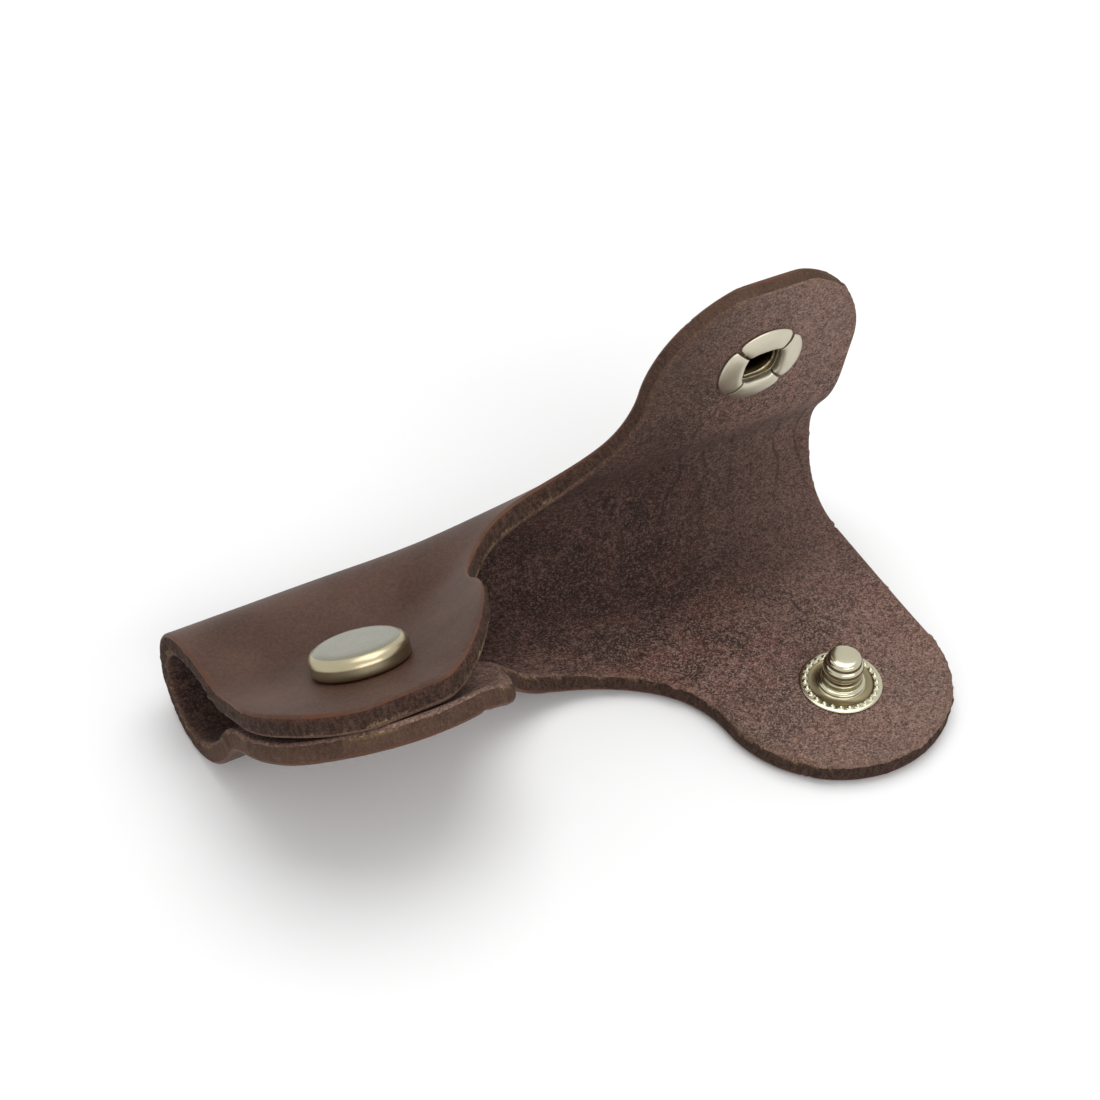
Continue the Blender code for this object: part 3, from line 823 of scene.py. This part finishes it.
hide_left_lower = hide_piece("hide_left_lower", [(1, FOLD_V, True), (0, MIDDLE_U, True)])
hide_left_flap = hide_piece("hide_left_flap", [(0, FLAP_U, True), (1, FOLD_V, False)])
hide_left_waist = hide_piece(
    "hide_left_waist", [(0, FLAP_U, False), (0, MIDDLE_U, True), (1, FOLD_V, False)]
)
hide_right_waist = hide_piece("hide_right_waist", [(0, MIDDLE_U, False), (0, OPEN_U, True)])
hide_right_flap = hide_piece("hide_right_flap", [(0, OPEN_U, False)])


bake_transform(hide_left_flap)
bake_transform(hide_left_waist)
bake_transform(hide_right_flap)
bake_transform(hide_right_waist)
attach(hide_left_lower, "base")
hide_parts("leather_base")
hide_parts("leather_left_flap")
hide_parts("leather_right_flap")

# Snap sizes, as in the frame: heights from the hide's inner face, into the fold
SEAT = 0.1 * MM
CAP_H = 3.1 * MM
CAP_SKIN = 0.3 * MM
CAP_LINING_R = 4.8 * MM
CAP_EDGE_R = 5.4 * MM
STUD_H = 5.25 * MM
STUD_BORE_R = 1.65 * MM
NECK_R = 2.56 * MM
NECK_FROM = 1.95 * MM
NECK_TO = 2.85 * MM
TROUGH_R = 3.22 * MM
TROUGH_FROM = 0.1 * MM
FLANGE_H = 0.42 * MM
BEADS = 26
BEAD_RING_R = 4.68 * MM
BEAD_R = 0.31 * MM
BEAD_H = 0.3 * MM
BEAD_ROWS = 12
BEAD_SPOKES = 14
MOUTH_HALF = 2.7 * MM
MOUTH_POWER = 3.5
TUBE_WALL = 0.4 * MM
TUBE_TOP = -0.2 * MM
TUBE_SKIN = 0.05 * MM
SQUARE_UNDER = -0.15 * MM
PETAL_R = 6.18 * MM
PETALS = 4
PETAL_ROWS = 25
PETAL_CORNER = 0.5 * MM
PETAL_DROP = 0.15
CORNER_POWER = 9
SLIT_IN = 0.12 * MM
SLIT_OUT = 0.3 * MM
EYELET_TOP = 2.1 * MM
EYELET_SPOKES = 64
SPOKES = 96
TOUCH = 0.01 * MM

# Profiles in millimetres. Cap: radius and depth under its top, then radius and height over the grain side
CAP_TOP = ((0, 0), (2.6, 0.02), (4.5, 0.07), (5.1, 0.16), (5.7, 0.46), (6.05, 0.9), (6.2, 1.35), (6.2, 1.7))
CAP_ROLL = (
    (6.2, 0.7), (6.12, 0.3), (5.8, 0.04), (5.2, 0.04), (4.85, 0.04), (4.85, 0.36), (5.45, 0.36), (5.6, 0.6),
)
CAP_INSIDE = ((5.6, 0.95), (5.1, 0.65), (0, 0.5))

# Stud: radius and depth under its top, then radius and height over the flesh side
STUD_HEAD = (
    (0, 0), (1.2, 0.03), (1.8, 0.1), (2.12, 0.28), (2.28, 0.6), (2.32, 0.98), (2.3, 1.1), (2.4, 1.18),
    (2.56, 1.34), (2.66, 1.62), (2.68, 1.9),
)
STUD_NECK = (
    (2.68, 2.95), (2.5, 2.8), (2.1, 2.7), (2.1, 2.1), (2.5, 2.0), (2.68, 1.82), (2.64, 1.4), (2.7, 1.12),
    (3.02, 0.98), (3.2, 0.82), (3.14, 0.64), (3.06, 0.48), (3.3, 0.36), (3.75, 0.3), (4.12, 0.3),
    (4.33, 0.38),
)
STUD_FLANGE = (
    (5.09, 0.42), (5.38, 0.38), (5.5, 0.26), (5.46, 0.04), (5.2, 0.03), (1.65, 0.03), (1.65, 0.3),
    (1.65, 2.4), (0, 2.4),
)

# Eyelet: radius and height over its seat on the grain side; its tube goes on up to EYELET_TOP
EYELET_FOOT = (
    (1.35, 0.2), (1.35, 0), (4.1, 0), (4.3, 0), (4.3, -0.35), (4.0, -0.35), (1.35, -0.35), (0.85, -0.35),
    (0.85, 0.15),
)

# Socket: the flare inside the cap, from the grain side, and a petal rolled out over the flesh side
FLARE = ((3.1, 0.8), (4.6, 1.0), (4.6, 1.3), (2.7, 1.3))
PETAL = (
    (2.715, -0.25), (2.715, 0.4), (2.82, 0.74), (3.2, 0.88), (3.8, 0.9), (4.88, 0.76), (5.68, 0.52),
    (6.13, 0.3), (6.18, 0.06), (5.78, 0.03), (3.4, 0.03), (3.08, -0.25),
)


# A profile in metres, its heights counted from a level, upwards or downwards
def measured(profile, level=0.0, way=1):
    return [(r * MM, level + way * height * MM) for r, height in profile]


# Corners of a profile cut off, again and again, until they are round
def softened(profile, closed, passes=3):
    points = [np.array(point) for point in profile]
    for _ in range(passes):
        pairs = zip(points, points[1:] + points[:1] if closed else points[1:])
        cut = [a + (b - a) * f for a, b in pairs for f in (0.25, 0.75)]
        points = cut if closed else [points[0]] + cut + [points[-1]]
    return [tuple(point) for point in points]


# Turned piece: a profile of radius and height swept round, closed on itself or on its axis
def turned(bm, profile, spokes):
    rings = []
    for r, z in profile:
        turns = [2 * math.pi * k / spokes for k in range(spokes if r > 0 else 1)]
        rings.append([bm.verts.new((r * math.cos(a), r * math.sin(a), z)) for a in turns])
    pairs = list(zip(rings, rings[1:]))
    if profile[0][0] > 0:
        pairs.append((rings[-1], rings[0]))
    for one, two in pairs:
        for k in range(spokes):
            j = (k + 1) % spokes
            corners = [one[k % len(one)], one[j % len(one)], two[j % len(two)], two[k % len(two)]]
            bm.faces.new([c for i, c in enumerate(corners) if c is not corners[i - 1]])
    bmesh.ops.recalc_face_normals(bm, faces=bm.faces)


# Cap: flat top, full round edge and a straight side, rolled in under itself
def shape_cap(bm):
    top = -LEATHER - CAP_H
    profile = measured(CAP_TOP, top) + measured(CAP_ROLL, -LEATHER, -1) + measured(CAP_INSIDE, top)
    turned(bm, softened(profile, False), SPOKES)
    # finishes of the cap: the top, the inside in dark brass for painted shade, the edge in a paler tint for
    # painted highlight
    for face in bm.faces:
        middle = face.calc_center_median()
        r = math.hypot(middle.x, middle.y)
        lining = r < CAP_LINING_R and middle.z > top + CAP_SKIN
        face.material_index = 2 if r > CAP_EDGE_R else int(lining)


# Stud: round head with a bulge over a narrow waist, stepped collar below, beaded flange
def shape_stud(bm):
    beads_from = BEAD_RING_R - BEAD_R
    beads_to = BEAD_RING_R + BEAD_R
    above = measured(STUD_HEAD, STUD_H, -1) + measured(STUD_NECK)
    rows = range(BEAD_ROWS + 1)
    ring = [(beads_from + (beads_to - beads_from) * k / BEAD_ROWS, FLANGE_H) for k in rows]
    profile = softened(above, False, 2) + ring + softened(measured(STUD_FLANGE), False, 1)
    turned(bm, profile, BEADS * BEAD_SPOKES)
    step = 2 * math.pi / BEADS
    for vert in bm.verts:
        r = math.hypot(vert.co.x, vert.co.y)
        if vert.co.z > FLANGE_H - TOUCH and beads_from <= r <= beads_to:
            off = (math.atan2(vert.co.y, vert.co.x) / step + 0.5) % 1 - 0.5
            away = math.hypot(r - BEAD_RING_R, off * step * BEAD_RING_R) / BEAD_R
            vert.co.z += BEAD_H * math.sqrt(max(0.0, 1 - away * away))
    # the trough and the neck take the darker finish: tarnish and painted shade
    for face in bm.faces:
        middle = face.calc_center_median()
        r = math.hypot(middle.x, middle.y)
        trough = TROUGH_R < r < beads_from and middle.z > TROUGH_FROM
        neck = STUD_BORE_R < r < NECK_R and NECK_FROM < middle.z < NECK_TO
        face.material_index = int(trough or neck)


# Eyelet: flanged tube that comes up through the hide into the stud
def shape_eyelet(bm):
    foot = measured(EYELET_FOOT, -LEATHER - SEAT)
    profile = [(foot[0][0], EYELET_TOP)] + foot + [(foot[-1][0], EYELET_TOP)]
    turned(bm, softened(profile, True), EYELET_SPOKES)


# The tube's mouth is squarish, and its corners fade out towards the round edge of the petals
def squared(x, y):
    r = math.hypot(x, y)
    around = (abs(x / r) ** MOUTH_POWER + abs(y / r) ** MOUTH_POWER) ** (1 / MOUTH_POWER)
    corner = MOUTH_HALF / around - MOUTH_HALF
    tube = MOUTH_HALF + TUBE_WALL
    grown = 1 + corner * (1 - float(ease((r - tube) / (PETAL_R - tube)))) / r
    return x * grown, y * grown


# Socket: squarish tube, its rim split at the corners and rolled out into four round-ended petals
def shape_socket(bm):
    tube = MOUTH_HALF + TUBE_WALL
    turned(bm, [(MOUTH_HALF, TUBE_TOP), (tube, TUBE_TOP)] + measured(FLARE, -LEATHER, -1), SPOKES)
    # the bore takes the dark brass: painted shade inside the deep hole
    for face in bm.faces:
        middle = face.calc_center_median()
        face.material_index = int(math.hypot(middle.x, middle.y) < MOUTH_HALF + TUBE_SKIN)
    over = softened(measured(PETAL), True, 2)
    shares = np.sin(np.linspace(-1, 1, PETAL_ROWS) * math.pi / 2)
    for petal in range(PETALS):
        rows = []
        for share in shares:
            row = []
            corner = abs(share) ** CORNER_POWER
            for r, z in over:
                out = (r - MOUTH_HALF) / (PETAL_R - MOUTH_HALF)
                r -= PETAL_CORNER * out**2 * corner
                slit = SLIT_IN + (SLIT_OUT - SLIT_IN) * out
                turn = petal * math.pi / 2 + share * (math.pi / 4 - math.asin(slit / r))
                x, y = squared(r * math.cos(turn), r * math.sin(turn))
                row.append(bm.verts.new((x, y, z * (1 - PETAL_DROP * corner) if z > 0 else z)))
            rows.append(row)
        for one, two in zip(rows, rows[1:]):
            for k in range(len(over)):
                j = (k + 1) % len(over)
                bm.faces.new((one[k], one[j], two[j], two[k]))
        bm.faces.new(rows[0])
        bm.faces.new(rows[-1])
    for vert in bm.verts:
        if vert.co.z < SQUARE_UNDER and math.hypot(vert.co.x, vert.co.y) < tube + TOUCH:
            vert.co.x, vert.co.y = squared(vert.co.x, vert.co.y)
    bmesh.ops.recalc_face_normals(bm, faces=bm.faces)


# A piece of a snap, set on the hide at (u, v) with its axis into the fold
def snap_piece(name, shape, finishes, u, v, body, stands_for):
    bm = bmesh.new()
    shape(bm)
    origin = bend(u, v, LEATHER / 2)
    inward = Vector(bend(u, v, LEATHER) - origin).normalized()
    along = Vector((1, 0, 0))
    place = Matrix((along, inward.cross(along), inward)).transposed().to_4x4()
    place.translation = Vector(origin)
    bmesh.ops.transform(bm, matrix=place, verts=bm.verts)
    # the many-sided ends of the petals stay flat, with sharp edges
    for face in bm.faces:
        face.smooth = len(face.verts) < 5
        if not face.smooth:
            for edge in face.edges:
                edge.smooth = False
    mesh = bpy.data.meshes.new(name)
    bm.to_mesh(mesh)
    bm.free()
    for finish in finishes:
        mesh.materials.append(finish)
    obj = bpy.data.objects.new(name, mesh)
    bpy.context.scene.collection.objects.link(obj)
    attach(obj, body)
    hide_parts(stands_for)


# Pieces of each snap, with their finishes and their place across the fold
SNAP = (
    ("stud", shape_stud, [bright_nickel, tarnish_and_shade_nickel], -SNAP_V),
    ("eyelet", shape_eyelet, [satin_nickel], -SNAP_V),
    ("socket", shape_socket, [polished_nickel, bore_shade_brass], SNAP_V),
    ("cap", shape_cap, [satin_nickel, bore_shade_brass, cap_edge_highlight_nickel], SNAP_V),
)
for side, way in (("left", -1), ("right", 1)):
    for part, shape, finishes, v in SNAP:
        body = side + "_flap" if v > 0 else "base"
        snap_piece(side + "_snap_" + part, shape, finishes, way * SNAP_U, v, body, side + "_" + part)
    for part, finish in (("cap_plate", bore_shade_brass), ("spring", spring_wire)):
        mesh = frame["nodes"][side + "_" + part].data
        mesh.materials.clear()
        mesh.materials.append(finish)

# Camera at the photograph's angle
level = Vector((math.cos(AZIMUTH), math.sin(AZIMUTH), 0))
away = Vector((math.sin(AZIMUTH), -math.cos(AZIMUTH), 0))
back = away * math.cos(ELEVATION) + Vector((0, 0, math.sin(ELEVATION)))
rise = back.cross(level)
right = math.cos(ROLL) * level + math.sin(ROLL) * rise
above = math.cos(ROLL) * rise - math.sin(ROLL) * level
aim = Vector(bend(-SNAP_U, SNAP_V, -LEATHER / 2 - CAP_RISE))
half_px = FRAME_PX / 2
ray = right * (CAP_PX[0] - half_px) / FOCAL_PX - above * (CAP_PX[1] - half_px) / FOCAL_PX - back
camera = bpy.data.objects.new("camera", bpy.data.cameras.new("camera"))
camera.data.sensor_width = SENSOR
camera.data.lens = FOCAL_PX / FRAME_PX * SENSOR
camera.data.clip_start = CLIP_START
pose = Matrix((right, above, back)).transposed().to_4x4()
pose.translation = aim - ray * DISTANCE
camera.matrix_world = pose
bpy.context.scene.collection.objects.link(camera)
bpy.context.scene.camera = camera


# What the camera sees, straight or in metal and glass
def seen_directly(add):
    paths = add("LightPath", {}).node.outputs
    seen = paths["Is Camera Ray"]
    for kind in ("Is Glossy Ray", "Is Transmission Ray"):
        seen = add("Math", {0: seen, 1: paths[kind]}, operation="MAXIMUM")
    return seen


# Stage: white paper floor, kept white to the eye beyond the reach of the lamps
bpy.context.scene.view_settings.view_transform = "Standard"
floor_mat, add, finish = new_material("white_paper_floor")
place = add("TexCoord", {}, "Object")
far = add("VectorMath", {0: place}, "Value", operation="LENGTH")
far = {"Value": far, "From Min": LAMPS_FROM, "From Max": LAMPS_TO, "To Max": 1 - AMBIENT}
far = add("MapRange", far)
far = add("Math", {0: far, 1: seen_directly(add)}, operation="MULTIPLY")
finish({"Base Color": colour("#fbfbfb"), "Roughness": 0.9})
finish({"Emission Color": WHITE, "Emission Strength": far})
bm = bmesh.new()
bmesh.ops.create_grid(bm, x_segments=1, y_segments=1, size=FLOOR_HALF)
mesh = bpy.data.meshes.new("floor")
bm.to_mesh(mesh)
bm.free()
mesh.materials.append(floor_mat)
floor = bpy.data.objects.new("floor", mesh)
bpy.context.scene.collection.objects.link(floor)

world = bpy.data.worlds.new("studio")
bpy.context.scene.world = world
world.use_nodes = True
add = partial(node, world.node_tree)
strength = add("MapRange", {"Value": seen_directly(add), "To Min": AMBIENT, "To Max": 1.0})
fill(world.node_tree, world.node_tree.nodes["Background"], {"Color": WHITE, "Strength": strength})


# Large soft lamp aimed at the part
def softbox(name, place, target, width, height, power):
    lamp = bpy.data.lights.new(name, "AREA")
    lamp.shape = "RECTANGLE"
    lamp.size = width
    lamp.size_y = height
    lamp.energy = power
    obj = bpy.data.objects.new(name, lamp)
    obj.location = place
    obj.rotation_euler = (Vector(target) - Vector(place)).to_track_quat("-Z", "Y").to_euler()
    bpy.context.scene.collection.objects.link(obj)


middle = (cad_low + cad_high) / 2
softbox("overhead_softbox", place=(0.08, 0.1, 0.62), target=middle, width=0.5, height=0.5, power=1.9)
softbox("front_softbox", place=(-0.02, -0.55, 0.42), target=middle, width=0.7, height=0.25, power=1.35)
